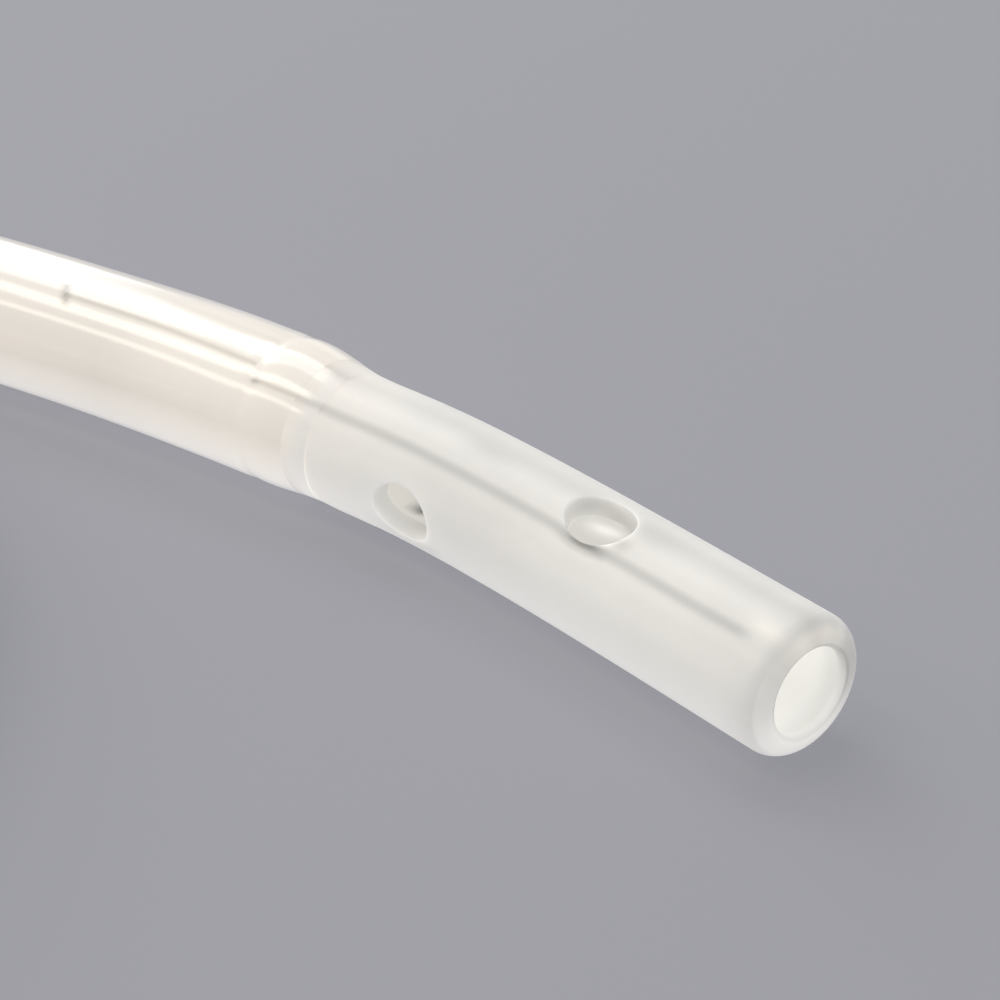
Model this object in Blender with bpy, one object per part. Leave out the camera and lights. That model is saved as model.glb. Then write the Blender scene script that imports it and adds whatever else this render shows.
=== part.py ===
"""Gastric calibration tube: a silicone stomach tube with a deflated balloon near its open tip.

The tube lies on the plane z = 0 as it would come to rest. Its straight tip points along +X, and the
long end is wound into one flat coil that ends in a moulded funnel. Every piece is turned about the
tube's centre line, so one station value, measured back from the tip, places all of them.
Units are metres, +Z is up, and the origin lies under the middle of the whole.
"""
import math

import bpy
from mathutils import Vector

# Shaft, a 36 French extrusion with a large bore and a fine channel in its wall
BORE_DIAMETER = 0.0080
SHAFT_WALL = 0.0020
CHANNEL_DIAMETER = 0.0010
CHANNEL_ANGLE = math.radians(58)
SOLID_TIP_LENGTH = 0.0045
TIP_FACE_WIDTH = 0.0002

# Side eyes: two opposed ones near the tip and one further back. Angles count up from the -Y side.
PAIR_STATION = 0.0223
PAIR_ANGLE = math.radians(79)
SIDE_STATION = 0.0415
SIDE_ANGLE = math.radians(-4)
EYE_LENGTH = 0.0074
EYE_WIDTH = 0.0052
PUNCH_START = 0.0012
PUNCH_END = 0.0078

# Balloon sleeve, centred on the notch that lets air out of the channel
NOTCH_STATION = 0.0835
NOTCH_LENGTH = 0.0008
NOTCH_WIDTH = 0.0024
BALLOON_LENGTH = 0.0560
BALLOON_WALL = 0.00035
CUFF_LENGTH = 0.0050
CREASE_DEPTH = 0.00012
CREASE_WIDTH = 0.0020
BOND_LENGTH = 0.0062
BOND_LIP = 0.00008

# Funnel at the far end, with its inflation arm
SOCKET_DEPTH = 0.0120
COLLAR_WALL = 0.0015
COLLAR_ROUNDING = 0.0008
FUNNEL_REACH = 0.0440
MOUTH_DIAMETER = 0.0126
MOUTH_DEPTH = 0.0180
MOUTH_WALL = 0.0020
RIM_HEIGHT = 0.0008
RIM_LENGTH = 0.0030
THROAT_LENGTH = 0.0120
ARM_ANGLE = math.radians(36)
ARM_STATION = 0.0050
ARM_LENGTH = 0.0300
ARM_WALL = 0.0018
PORT_DEPTH = 0.0100
PASSAGE_DIAMETER = 0.0012

# Luer port, a rigid female fitting pressed into the inflation arm
LUER_MOUTH_DIAMETER = 0.00430
LUER_TAPER = 0.06
LUER_DEPTH = 0.0080
LUER_WALL = 0.0012
LUER_STEM_DIAMETER = 0.0046
LUER_HOLE_DIAMETER = 0.0016
LUER_FLANGE_THICKNESS = 0.0015
LUER_FLANGE_DIAMETER = 0.0086
LUER_LUG_SPAN = 0.0078
LUER_LUG_THICKNESS = 0.0014
LUER_LUG_WIDTH = 0.0032
LUER_LUG_SETBACK = 0.0003

# Clearance between pieces that touch on the real tube, and how far a cutter runs past a face
SEAT_GAP = 0.0003
CUT_PAST = 0.0009

# Route of the centre line. Each bend has its length and the radius that it reaches at its end.
TIP_STRAIGHT = 0.008
SEEN_BENDS = (
    (0.017, 0.5128),
    (0.025, 0.14925),
    (0.025, 0.2778),
    (0.020, 0.2778),
)
LEAD_LENGTH = 0.050
LEAD_RADIUS = 0.2222
COIL_RADIUS_IN_DIAMETERS = 6.15
COIL_TURN = math.radians(262)
END_BEND_IN_DIAMETERS = 4.15
EASE_LENGTH = 0.022
END_STRAIGHT = 0.006
END_HEADING = math.radians(450)
RISE_LENGTH = 0.050
SETTLE_LENGTH = 0.012

# Facets
SIDES = 24
BALLOON_SIDES = 32
SMALL_SIDES = 16
PASSAGE_SIDES = 8
CHANNEL_SIDES = 6
EYE_SIDES = 28
LIP_STEPS = 5
BOND_STEPS = 6
FLARE_STEPS = 5
STATION_SPACING = 0.0090
BALLOON_SPACING = 0.0056
ROUTE_STEP = 0.0010

BORE_RADIUS = BORE_DIAMETER / 2
SHAFT_RADIUS = BORE_RADIUS + SHAFT_WALL
SHAFT_DIAMETER = 2 * SHAFT_RADIUS
CHANNEL_PITCH = BORE_RADIUS + SHAFT_WALL / 2
SLEEVE_BORE = SHAFT_RADIUS + SEAT_GAP
BALLOON_RADIUS = SLEEVE_BORE + BALLOON_WALL
BALLOON_START = NOTCH_STATION - BALLOON_LENGTH / 2
BALLOON_END = NOTCH_STATION + BALLOON_LENGTH / 2
COIL_RADIUS = COIL_RADIUS_IN_DIAMETERS * SHAFT_DIAMETER
END_BEND_RADIUS = END_BEND_IN_DIAMETERS * SHAFT_DIAMETER
COLLAR_RADIUS = SLEEVE_BORE + COLLAR_WALL
MOUTH_RADIUS = MOUTH_DIAMETER / 2
RIM_RADIUS = MOUTH_RADIUS + MOUTH_WALL + RIM_HEIGHT
PORT_RADIUS = LUER_STEM_DIAMETER / 2 + SEAT_GAP
ARM_RADIUS = PORT_RADIUS + ARM_WALL


def smooth(value):
    """Ease from 0 to 1 with level ends."""
    t = min(max(value, 0.0), 1.0)
    return t * t * (3 - 2 * t)


def route_stretches():
    """All stretches from the tip back. The last bend turns the end parallel to Y."""
    coil = 1 / COIL_RADIUS
    bend = 1 / END_BEND_RADIUS
    before = [(TIP_STRAIGHT, 0.0)] + [(length, 1 / radius) for length, radius in SEEN_BENDS]
    before += [
        (LEAD_LENGTH, 1 / LEAD_RADIUS),
        (EASE_LENGTH, coil),
        (COIL_TURN * COIL_RADIUS, coil),
        (EASE_LENGTH, bend),
    ]
    after = [(EASE_LENGTH, 0.0), (END_STRAIGHT, 0.0)]
    turned = 0.0
    curvature = 0.0
    for length, end in before:
        turned += length * (curvature + end) / 2
        curvature = end
    turned += EASE_LENGTH * bend / 2
    return before + [((END_HEADING - turned) / bend, bend)] + after


class Route:
    """The tube's centre line, walked back from the tip in small steps."""

    def __init__(self):
        stretches = route_stretches()
        self.length = sum(length for length, end in stretches)
        self.points = [(0.0, 0.0, 0.0)]
        x = y = heading = curvature = 0.0
        for length, end in stretches:
            steps = max(1, round(length / ROUTE_STEP))
            step = length / steps
            for i in range(steps):
                here = curvature + (end - curvature) * (i + 0.5) / steps
                middle = heading + here * step / 2
                x -= math.cos(middle) * step
                y -= math.sin(middle) * step
                heading += here * step
                self.points.append((x, y, heading))
            curvature = end
        self.stations = self.station_list(stretches)
        self.shaft_end = self.length
        self.middle = self.find_middle()

    @staticmethod
    def station_list(stretches):
        stations = [0.0]
        for length, end in stretches:
            steps = max(1, round(length / ROUTE_STEP))
            stations += [stations[-1] + length * (i + 1) / steps for i in range(steps)]
        return stations

    def find_middle(self):
        """Middle of the floor area that the shaft covers."""
        edges = (-SHAFT_RADIUS, SHAFT_RADIUS)
        xs = [x + edge * math.sin(heading) for x, y, heading in self.points for edge in edges]
        ys = [y - edge * math.cos(heading) for x, y, heading in self.points for edge in edges]
        return (min(xs) + max(xs)) / 2, (min(ys) + max(ys)) / 2

    def height(self, station):
        """The centre line's height, so that each stretch rests on the floor."""
        bond = BOND_LENGTH + SEAT_GAP
        proud = BALLOON_RADIUS - SHAFT_RADIUS
        lift = proud * smooth((station - BALLOON_START + bond) / SETTLE_LENGTH + 1)
        lift -= proud * smooth((station - BALLOON_END - bond) / SETTLE_LENGTH)
        rise_start = self.shaft_end - SOCKET_DEPTH - RISE_LENGTH
        lift += (RIM_RADIUS - SHAFT_RADIUS) * smooth((station - rise_start) / RISE_LENGTH)
        return SHAFT_RADIUS + lift

    def at(self, station):
        """Centre, direction towards the tip and direction to the -Y side at a station."""
        if station >= self.length:
            x, y, heading = self.points[-1]
            x -= math.cos(heading) * (station - self.length)
            y -= math.sin(heading) * (station - self.length)
        elif station <= 0:
            x, y, heading = -station, 0.0, 0.0
        else:
            low, high = 0, len(self.stations) - 1
            while high - low > 1:
                mid = (low + high) // 2
                if self.stations[mid] <= station:
                    low = mid
                else:
                    high = mid
            t = (station - self.stations[low]) / (self.stations[high] - self.stations[low])
            x, y, heading = (a + (b - a) * t for a, b in zip(self.points[low], self.points[high]))
        centre = Vector((x - self.middle[0], y - self.middle[1], self.height(station)))
        forward = Vector((math.cos(heading), math.sin(heading), 0))
        side = Vector((math.sin(heading), -math.cos(heading), 0))
        return centre, forward, side

    def place(self, station, radius, angle):
        """A point at a radius about the centre line, its angle counted up from the -Y side."""
        centre, forward, side = self.at(station)
        return centre + side * (radius * math.cos(angle)) + Vector((0, 0, radius * math.sin(angle)))


class Axis:
    """A straight axis: places points as the route does, from its start along its direction."""

    def __init__(self, start, direction):
        self.start = start
        self.direction = direction.normalized()
        self.up = Vector((0, 0, 1))
        self.side = self.direction.cross(self.up).normalized()
        self.up = self.side.cross(self.direction)

    def place(self, distance, radius, angle):
        out = self.side * math.cos(angle) + self.up * math.sin(angle)
        return self.start + self.direction * distance + out * radius


def new_object(name, vertices, faces):
    mesh = bpy.data.meshes.new(name)
    mesh.from_pydata([tuple(v) for v in vertices], [], faces)
    mesh.validate()
    mesh.shade_smooth()
    mesh.set_sharp_from_angle(angle=math.radians(35))
    item = bpy.data.objects.new(name, mesh)
    bpy.context.collection.objects.link(item)
    return item


def turned(name, carrier, profile, sides, ring=False):
    """Turn a profile of (station, radius) points about a route or an axis.

    A ring's profile is a closed loop round a hole. Any other profile is capped at both ends.
    """
    vertices = []
    for station, radius in profile:
        for k in range(sides):
            vertices.append(carrier.place(station, radius, 2 * math.pi * k / sides))
    count = len(profile)
    faces = []
    for i in range(count if ring else count - 1):
        a = i * sides
        b = (i + 1) % count * sides
        for k in range(sides):
            n = (k + 1) % sides
            faces.append((a + k, a + n, b + n, b + k))
    if not ring:
        faces.append(tuple(reversed(range(sides))))
        faces.append(tuple(range((count - 1) * sides, count * sides)))
    return finish_faces(new_object(name, vertices, faces))


def finish_faces(item):
    """Point every face out of its solid."""
    volume = 0.0
    mesh = item.data
    mesh.calc_loop_triangles()
    for triangle in mesh.loop_triangles:
        a, b, c = (mesh.vertices[i].co for i in triangle.vertices)
        volume += a.dot(b.cross(c)) / 6
    if volume < 0:
        mesh.flip_normals()
    return item


def stations_between(start, end, spacing):
    steps = max(1, math.ceil(abs(end - start) / spacing - 1e-6))
    return [start + (end - start) * i / steps for i in range(steps + 1)]


def material(name, colour, roughness, alpha=1.0):
    item = bpy.data.materials.new(name)
    item.use_nodes = True
    shader = item.node_tree.nodes["Principled BSDF"]
    shader.inputs["Base Color"].default_value = (*colour, 1)
    shader.inputs["Roughness"].default_value = roughness
    shader.inputs["Metallic"].default_value = 0.0
    shader.inputs["Alpha"].default_value = alpha
    return item


def combine(item, tool, operation):
    """Add or take away another solid, which is then left out of the model."""
    tool.hide_render = True
    tool.display_type = "WIRE"
    modifier = item.modifiers.new(tool.name, "BOOLEAN")
    modifier.operation = operation
    modifier.solver = "EXACT"
    modifier.object = tool


def shaft_profile(route):
    """Outside of the shaft from its far end to the tip, round the lip and back along the bore."""
    lip = SHAFT_WALL - TIP_FACE_WIDTH
    outside = [(s, SHAFT_RADIUS) for s in stations_between(route.shaft_end, lip, STATION_SPACING)]
    rounded = []
    for i in range(1, LIP_STEPS + 1):
        turn = math.pi / 2 * i / LIP_STEPS
        rounded.append((lip - lip * math.sin(turn), SHAFT_RADIUS - lip + lip * math.cos(turn)))
    inside = [(s, BORE_RADIUS) for s in stations_between(0, route.shaft_end, STATION_SPACING)]
    return outside + rounded + inside


def eye_cutter(route, name, station, angle):
    """An oval punch that goes through one wall of the shaft."""
    centre, forward, side = route.at(station)
    outward = side * math.cos(angle) + Vector((0, 0, math.sin(angle)))
    across = outward.cross(forward)
    vertices = []
    for depth in (PUNCH_START, PUNCH_END):
        for k in range(EYE_SIDES):
            turn = 2 * math.pi * k / EYE_SIDES
            along = forward * (EYE_LENGTH / 2 * math.cos(turn))
            vertices.append(centre + outward * depth + along + across * (EYE_WIDTH / 2 * math.sin(turn)))
    return prism(name, vertices, EYE_SIDES)


def prism(name, vertices, sides):
    """A closed prism from two rings of corners."""
    faces = [(k, (k + 1) % sides, sides + (k + 1) % sides, sides + k) for k in range(sides)]
    faces += [tuple(reversed(range(sides))), tuple(range(sides, 2 * sides))]
    return finish_faces(new_object(name, vertices, faces))


def block(name, centre, axes, sizes):
    """A box about a centre, along three directions."""
    corners = []
    for w in (-1, 1):
        for u, v in ((-1, -1), (1, -1), (1, 1), (-1, 1)):
            offset = axes[0] * (u * sizes[0] / 2) + axes[1] * (v * sizes[1] / 2)
            corners.append(centre + offset + axes[2] * (w * sizes[2] / 2))
    return prism(name, corners, 4)


class OffsetRoute:
    """A line that keeps its place in the wall, such as the inflation channel."""

    def __init__(self, route, radius, angle):
        self.route = route
        self.radius = radius
        self.angle = angle

    def place(self, station, radius, angle):
        middle = self.route.place(station, self.radius, self.angle)
        centre, forward, side = self.route.at(station)
        return middle + side * (radius * math.cos(angle)) + Vector((0, 0, radius * math.sin(angle)))


def make_shaft(route, silicone):
    shaft = turned("shaft", route, shaft_profile(route), SIDES, ring=True)
    wall_line = OffsetRoute(route, CHANNEL_PITCH, CHANNEL_ANGLE)
    past_end = route.shaft_end + CHANNEL_DIAMETER
    stations = stations_between(SOLID_TIP_LENGTH, past_end, STATION_SPACING)
    channel = turned(
        "cut_channel", wall_line, [(s, CHANNEL_DIAMETER / 2) for s in stations], CHANNEL_SIDES)
    combine(shaft, channel, "DIFFERENCE")
    combine(shaft, eye_cutter(route, "cut_eye_top", PAIR_STATION, PAIR_ANGLE), "DIFFERENCE")
    combine(shaft, eye_cutter(route, "cut_eye_side", SIDE_STATION, SIDE_ANGLE), "DIFFERENCE")
    combine(
        shaft, eye_cutter(route, "cut_eye_under", PAIR_STATION, PAIR_ANGLE - math.pi), "DIFFERENCE")
    centre, forward, side = route.at(NOTCH_STATION)
    outward = side * math.cos(CHANNEL_ANGLE) + Vector((0, 0, math.sin(CHANNEL_ANGLE)))
    notch = block(
        "cut_notch", centre + outward * (CHANNEL_PITCH + SHAFT_WALL / 2),
        (forward, outward.cross(forward), outward), (NOTCH_LENGTH, NOTCH_WIDTH, SHAFT_WALL))
    combine(shaft, notch, "DIFFERENCE")
    shaft.data.materials.append(silicone)
    return shaft


def balloon_outside(station):
    """The sleeve's outer radius, pinched where each glued cuff ends."""
    from_end = min(station - BALLOON_START, BALLOON_END - station)
    pinch = 1 - smooth(abs(from_end - CUFF_LENGTH) / (CREASE_WIDTH / 2))
    return BALLOON_RADIUS - CREASE_DEPTH * pinch


def make_balloon(route, silicone):
    creases = (BALLOON_START + CUFF_LENGTH, BALLOON_END - CUFF_LENGTH)
    stations = set(stations_between(BALLOON_START, BALLOON_END, BALLOON_SPACING))
    for crease in creases:
        stations = {s for s in stations if abs(s - crease) > CREASE_WIDTH}
        stations |= {crease - CREASE_WIDTH / 2, crease, crease + CREASE_WIDTH / 2}
    stations = sorted(stations)
    profile = [(s, balloon_outside(s)) for s in stations]
    profile += [(s, SLEEVE_BORE) for s in reversed(stations)]
    balloon = turned("balloon", route, profile, BALLOON_SIDES, ring=True)
    balloon.data.materials.append(silicone)
    return balloon


def make_bond(name, route, thick_end, thin_end, adhesive):
    """Adhesive fillet from a cuff's end down to the shaft, an S in section."""
    thin = SLEEVE_BORE + BOND_LIP
    stations = stations_between(thick_end, thin_end, BOND_LENGTH / BOND_STEPS)
    profile = []
    for s in stations:
        part = smooth((s - thin_end) / (thick_end - thin_end))
        profile.append((s, thin + (BALLOON_RADIUS - thin) * part))
    profile += [(s, SLEEVE_BORE) for s in (thin_end, (thin_end + thick_end) / 2, thick_end)]
    bond = turned(name, route, profile, BALLOON_SIDES, ring=True)
    bond.data.materials.append(adhesive)
    return bond


def make_funnel(route, silicone, arm):
    """Outer form and arm joined, then the socket, throat, mouth and air passage taken out."""
    start = route.shaft_end - SOCKET_DEPTH
    end = route.shaft_end + FUNNEL_REACH
    flare_end = end - MOUTH_DEPTH
    rim = end - RIM_LENGTH
    outside = [(start, COLLAR_RADIUS - COLLAR_ROUNDING)]
    outside += [(start + COLLAR_ROUNDING, COLLAR_RADIUS)]
    flare_start = route.shaft_end + THROAT_LENGTH
    mouth_outside = MOUTH_RADIUS + MOUTH_WALL
    flare = stations_between(flare_start, flare_end, (flare_end - flare_start) / FLARE_STEPS)
    for s in flare:
        part = smooth((s - flare_start) / (flare_end - flare_start))
        outside.append((s, COLLAR_RADIUS + (mouth_outside - COLLAR_RADIUS) * part))
    outside += [(rim - RIM_HEIGHT, mouth_outside), (rim, RIM_RADIUS)]
    outside += [(end - RIM_HEIGHT, RIM_RADIUS), (end, RIM_RADIUS - RIM_HEIGHT)]
    funnel = turned("funnel", route, outside, SIDES * 2)

    arm_end = (ARM_LENGTH, ARM_RADIUS - COLLAR_ROUNDING)
    arm_solid = turned(
        "join_arm", arm, [(0, ARM_RADIUS), (ARM_LENGTH - COLLAR_ROUNDING, ARM_RADIUS), arm_end], SIDES)
    combine(funnel, arm_solid, "UNION")

    hollow = [(start - CUT_PAST, SLEEVE_BORE), (route.shaft_end + SEAT_GAP, SLEEVE_BORE)]
    hollow += [(route.shaft_end + SEAT_GAP, BORE_RADIUS), (flare_start, BORE_RADIUS)]
    for s in flare[1:]:
        part = smooth((s - flare_start) / (flare_end - flare_start))
        hollow.append((s, BORE_RADIUS + (MOUTH_RADIUS - BORE_RADIUS) * part))
    hollow.append((end + CUT_PAST, MOUTH_RADIUS))
    combine(funnel, turned("cut_hollow", route, hollow, SIDES), "DIFFERENCE")

    port_bottom = ARM_LENGTH - PORT_DEPTH
    port_ends = [(port_bottom, PORT_RADIUS), (ARM_LENGTH + CUT_PAST, PORT_RADIUS)]
    combine(funnel, turned("cut_port", arm, port_ends, SMALL_SIDES), "DIFFERENCE")
    mouth = route.place(route.shaft_end - CUT_PAST, CHANNEL_PITCH, CHANNEL_ANGLE)
    across = arm.place(port_bottom + CUT_PAST, 0, 0) - mouth
    passage_ends = [(0, PASSAGE_DIAMETER / 2), (across.length, PASSAGE_DIAMETER / 2)]
    hole = turned("cut_passage", Axis(mouth, across), passage_ends, PASSAGE_SIDES)
    combine(funnel, hole, "DIFFERENCE")
    funnel.data.materials.append(silicone)
    return funnel


def make_luer_port(arm, plastic):
    """Female fitting: stem, flange, tapered hub and two lugs for a locking syringe."""
    bottom = ARM_LENGTH - PORT_DEPTH + SEAT_GAP
    seat = ARM_LENGTH + SEAT_GAP
    hub_start = seat + LUER_FLANGE_THICKNESS
    end = hub_start + LUER_DEPTH
    mouth = LUER_MOUTH_DIAMETER / 2
    hub = mouth + LUER_WALL
    stem = LUER_STEM_DIAMETER / 2
    flange = LUER_FLANGE_DIAMETER / 2
    hole = LUER_HOLE_DIAMETER / 2
    taper_end = mouth - LUER_TAPER / 2 * LUER_DEPTH
    profile = [(bottom, hole), (bottom, stem), (seat, stem), (seat, flange), (hub_start, flange)]
    profile += [(hub_start, hub), (end, hub), (end, mouth), (hub_start, taper_end), (hub_start, hole)]
    port = turned("luer_port", arm, profile, SIDES, ring=True)
    for sign, name in ((1, "join_lug_left"), (-1, "join_lug_right")):
        inner = mouth + LUER_WALL / 2
        outer = LUER_LUG_SPAN / 2
        along = end - LUER_LUG_SETBACK - LUER_LUG_THICKNESS / 2
        centre = arm.place(along, sign * (inner + outer) / 2, 0)
        sizes = (LUER_LUG_THICKNESS, outer - inner, LUER_LUG_WIDTH)
        combine(port, block(name, centre, (arm.direction, arm.side, arm.up), sizes), "UNION")
    port.data.materials.append(plastic)
    return port


def build():
    for item in list(bpy.data.objects):
        bpy.data.objects.remove(item)
    route = Route()
    clear = material("silicone_shaft", (0.86, 0.85, 0.81), 0.42)
    sleeve = material("silicone_balloon", (0.90, 0.88, 0.84), 0.18)
    adhesive = material("silicone_adhesive", (0.88, 0.87, 0.83), 0.30)
    moulded = material("silicone_funnel", (0.84, 0.83, 0.80), 0.38)
    plastic = material("clear_plastic", (0.88, 0.91, 0.93), 0.22)
    make_shaft(route, clear)
    make_balloon(route, sleeve)
    front = BALLOON_START - SEAT_GAP
    back = BALLOON_END + SEAT_GAP
    make_bond("distal_bond", route, front, front - BOND_LENGTH, adhesive)
    make_bond("proximal_bond", route, back, back + BOND_LENGTH, adhesive)
    arm_start, forward, side = route.at(route.shaft_end + ARM_STATION)
    direction = side * math.sin(ARM_ANGLE) - forward * math.cos(ARM_ANGLE)
    arm = Axis(arm_start, direction)
    make_funnel(route, moulded, arm)
    make_luer_port(arm, plastic)


build()
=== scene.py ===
# %% [markdown]
# # A gastric calibration tube
#
# This is a soft silicone tube that a surgeon passes down to the stomach. It has an open, rounded
# tip with side eyes, a thin balloon sleeve glued over it just behind them, and a funnel at the
# far end. We build its looks here, piece by piece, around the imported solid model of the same
# tube. All lengths are in metres, +Z is up, and the straight tip points along +X.

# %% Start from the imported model
import math

import bpy
import numpy as np
from mathutils import Matrix, Vector


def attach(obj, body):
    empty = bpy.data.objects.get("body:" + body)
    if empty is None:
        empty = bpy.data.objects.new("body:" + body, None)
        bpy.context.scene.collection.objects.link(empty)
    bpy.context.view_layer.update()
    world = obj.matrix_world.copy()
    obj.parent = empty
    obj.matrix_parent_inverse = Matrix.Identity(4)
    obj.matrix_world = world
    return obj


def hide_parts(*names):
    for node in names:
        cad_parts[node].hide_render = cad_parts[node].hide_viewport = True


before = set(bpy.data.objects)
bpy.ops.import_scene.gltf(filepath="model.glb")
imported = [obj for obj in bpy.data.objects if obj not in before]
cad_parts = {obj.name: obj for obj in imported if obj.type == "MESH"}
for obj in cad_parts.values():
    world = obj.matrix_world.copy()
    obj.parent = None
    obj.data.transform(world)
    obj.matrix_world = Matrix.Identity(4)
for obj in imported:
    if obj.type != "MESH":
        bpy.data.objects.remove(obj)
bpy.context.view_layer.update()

# %% [markdown]
# ## The line that everything follows
#
# Every piece of the tube is round about one centre line, so that line comes first. A designer
# would describe it by how sharply it bends: each stretch below has a length and the curvature
# that it reaches at its end. Adding up the curvature gives the heading, and adding up the
# heading gives the place. The list starts at the tip and walks backwards along the tube.

# %% The centre line, from the tip back
SHAFT_RADIUS = 0.0060
BORE_RADIUS = 0.0040
COIL_RADIUS = 6.15 * 2 * SHAFT_RADIUS
END_BEND_RADIUS = 4.15 * 2 * SHAFT_RADIUS
COIL_TURN = math.radians(262)
END_HEADING = math.radians(450)
EASE = 0.022
FUNNEL_STRETCH = 0.006
STEP = 0.0010
TIP_STRETCHES = ((0.008, 0.0), (0.017, 1.95), (0.025, 6.70), (0.025, 3.60), (0.020, 3.60), (0.050, 4.5))

stretches = [*TIP_STRETCHES, (EASE, 1 / COIL_RADIUS), (COIL_TURN * COIL_RADIUS, 1 / COIL_RADIUS)]
stretches += [(EASE, 1 / END_BEND_RADIUS)]
turned = EASE / END_BEND_RADIUS / 2
previous = 0.0
for stretch_length, curvature in stretches:
    turned += stretch_length * (previous + curvature) / 2
    previous = curvature
stretches += [((END_HEADING - turned) * END_BEND_RADIUS, 1 / END_BEND_RADIUS)]
stretches += [(EASE, 0.0), (FUNNEL_STRETCH, 0.0)]


def walk(stretches):
    """Station, x, y and heading along the line, one row for each small step."""
    rows = [(0.0, 0.0, 0.0, 0.0)]
    start = 0.0
    for length, end in stretches:
        steps = max(1, round(length / STEP))
        step = length / steps
        for i in range(steps):
            station, x, y, heading = rows[-1]
            bend = start + (end - start) * (i + 0.5) / steps
            middle = heading + bend * step / 2
            x -= math.cos(middle) * step
            y -= math.sin(middle) * step
            rows.append((station + step, x, y, heading + bend * step))
        start = end
    return np.array(rows)


line = walk(stretches)
edge_x = np.concatenate([line[:, 1] + e * np.sin(line[:, 3]) for e in (-SHAFT_RADIUS, SHAFT_RADIUS)])
edge_y = np.concatenate([line[:, 2] - e * np.cos(line[:, 3]) for e in (-SHAFT_RADIUS, SHAFT_RADIUS)])
line[:, 1] -= (edge_x.min() + edge_x.max()) / 2
line[:, 2] -= (edge_y.min() + edge_y.max()) / 2
SHAFT_LENGTH = line[-1, 0]
print("shaft length", round(SHAFT_LENGTH, 4), "tip at", line[0, 1:3].round(4))

# %% [markdown]
# The tube lies on a table, so the line's height is the radius of whatever rests there: a little
# more under the balloon, and more again where the funnel's rim lifts the far end. Stations are
# measured back from the tip. The balloon's front end rises out of the shaft in a shoulder, and
# a soft tube never lies quite true, so the line also sways to one side by less than a
# millimetre under the balloon and comes back behind it.

# %% Heights and a placing function
NOTCH = 0.0835
BALLOON_HALF = 0.0280
BALLOON_START = NOTCH - BALLOON_HALF
BALLOON_END = NOTCH + BALLOON_HALF
BALLOON_RADIUS = 0.00665
SHOULDER_START = -0.0030
SHOULDER_LENGTH = 0.0067
SETTLE_START = -0.0055
SETTLE = 0.010
SWAY = 0.00078
SWAY_START = 0.040
SWAY_LENGTH = 0.025
SWAY_RETURN = 0.080
RISE = 0.050
SOCKET_DEPTH = 0.012
RIM_RADIUS = 0.0091


def ease(value):
    """Rise smoothly from 0 to 1 with level ends."""
    t = np.clip(value, 0.0, 1.0)
    return t * t * (3 - 2 * t)


def from_balloon_end(station):
    """How far a station lies inside the balloon's nearer end. Outside the balloon it is negative."""
    return np.minimum(station - BALLOON_START, BALLOON_END - station)


def proud(station):
    """How much of the balloon's full thickness stands on the shaft, from 0 to 1."""
    return ease((from_balloon_end(station) - SHOULDER_START) / SHOULDER_LENGTH)


def height(station):
    """Height of the centre line above the table."""
    settled = ease((from_balloon_end(station) - SETTLE_START) / SETTLE)
    lift = (BALLOON_RADIUS - SHAFT_RADIUS) * settled
    rise_start = SHAFT_LENGTH - SOCKET_DEPTH - RISE
    lift = lift + (RIM_RADIUS - SHAFT_RADIUS) * ease((station - rise_start) / RISE)
    return SHAFT_RADIUS + lift


def on_line(station):
    """Centre point and heading at one station or many."""
    station = np.asarray(station, float)
    x = np.interp(station, line[:, 0], line[:, 1])
    y = np.interp(station, line[:, 0], line[:, 2])
    heading = np.interp(station, line[:, 0], line[:, 3])
    past = np.maximum(station - SHAFT_LENGTH, 0) + np.minimum(station, 0)
    x = x - np.cos(heading) * past
    y = y - np.sin(heading) * past
    swayed = ease((station - SWAY_START) / SWAY_LENGTH) - ease((station - BALLOON_END) / SWAY_RETURN)
    sway = SWAY * swayed
    x = x + np.sin(heading) * sway
    y = y - np.cos(heading) * sway
    return np.stack([x, y, height(station)], -1), heading


def place(station, radius, angle):
    """A point about the line. The angle is counted up from the side that faces -Y at the tip."""
    centre, heading = on_line(station)
    across = np.stack([np.sin(heading), -np.cos(heading), np.zeros_like(heading)], -1)
    up = np.array([0.0, 0.0, 1.0])
    radius = np.asarray(radius)[..., None]
    return centre + across * radius * np.cos(angle)[..., None] + up * radius * np.sin(angle)[..., None]


print("line height at the tip and under the balloon", height(np.array([0.0, NOTCH])).round(5))

# %% [markdown]
# ## Camera
#
# The photograph looks down at the tip from in front and to one side, through a long lens. Its
# place was found by fitting the tube's outline, so the numbers below are a direction, a distance
# and a lens, all measured to the point on the tube that sits in the middle of the picture.

# %% Camera
CAMERA_AZIMUTH = math.radians(49.24)
CAMERA_ELEVATION = math.radians(30.87)
CAMERA_DISTANCE = 0.2433
AIM_FROM_TIP = (-0.03684, 0.00073)
FOCAL_PIXELS = 2901
PICTURE_PIXELS = 1000
SENSOR_WIDTH = 36.0
NEAREST_SEEN = 0.005

tip = on_line(0.0)[0]
aim = Vector((tip[0] + AIM_FROM_TIP[0], tip[1] + AIM_FROM_TIP[1], SHAFT_RADIUS))
away = Vector((
    math.sin(CAMERA_AZIMUTH) * math.cos(CAMERA_ELEVATION),
    -math.cos(CAMERA_AZIMUTH) * math.cos(CAMERA_ELEVATION),
    math.sin(CAMERA_ELEVATION)))
camera_data = bpy.data.cameras.new("camera")
camera_data.sensor_width = SENSOR_WIDTH
camera_data.sensor_fit = "HORIZONTAL"
camera_data.lens = SENSOR_WIDTH * FOCAL_PIXELS / PICTURE_PIXELS
camera_data.clip_start = NEAREST_SEEN
camera = bpy.data.objects.new("camera", camera_data)
camera.location = aim + away * CAMERA_DISTANCE
camera.rotation_euler = (-away).to_track_quat("-Z", "Y").to_euler()
bpy.context.scene.collection.objects.link(camera)
bpy.context.scene.camera = camera
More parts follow.
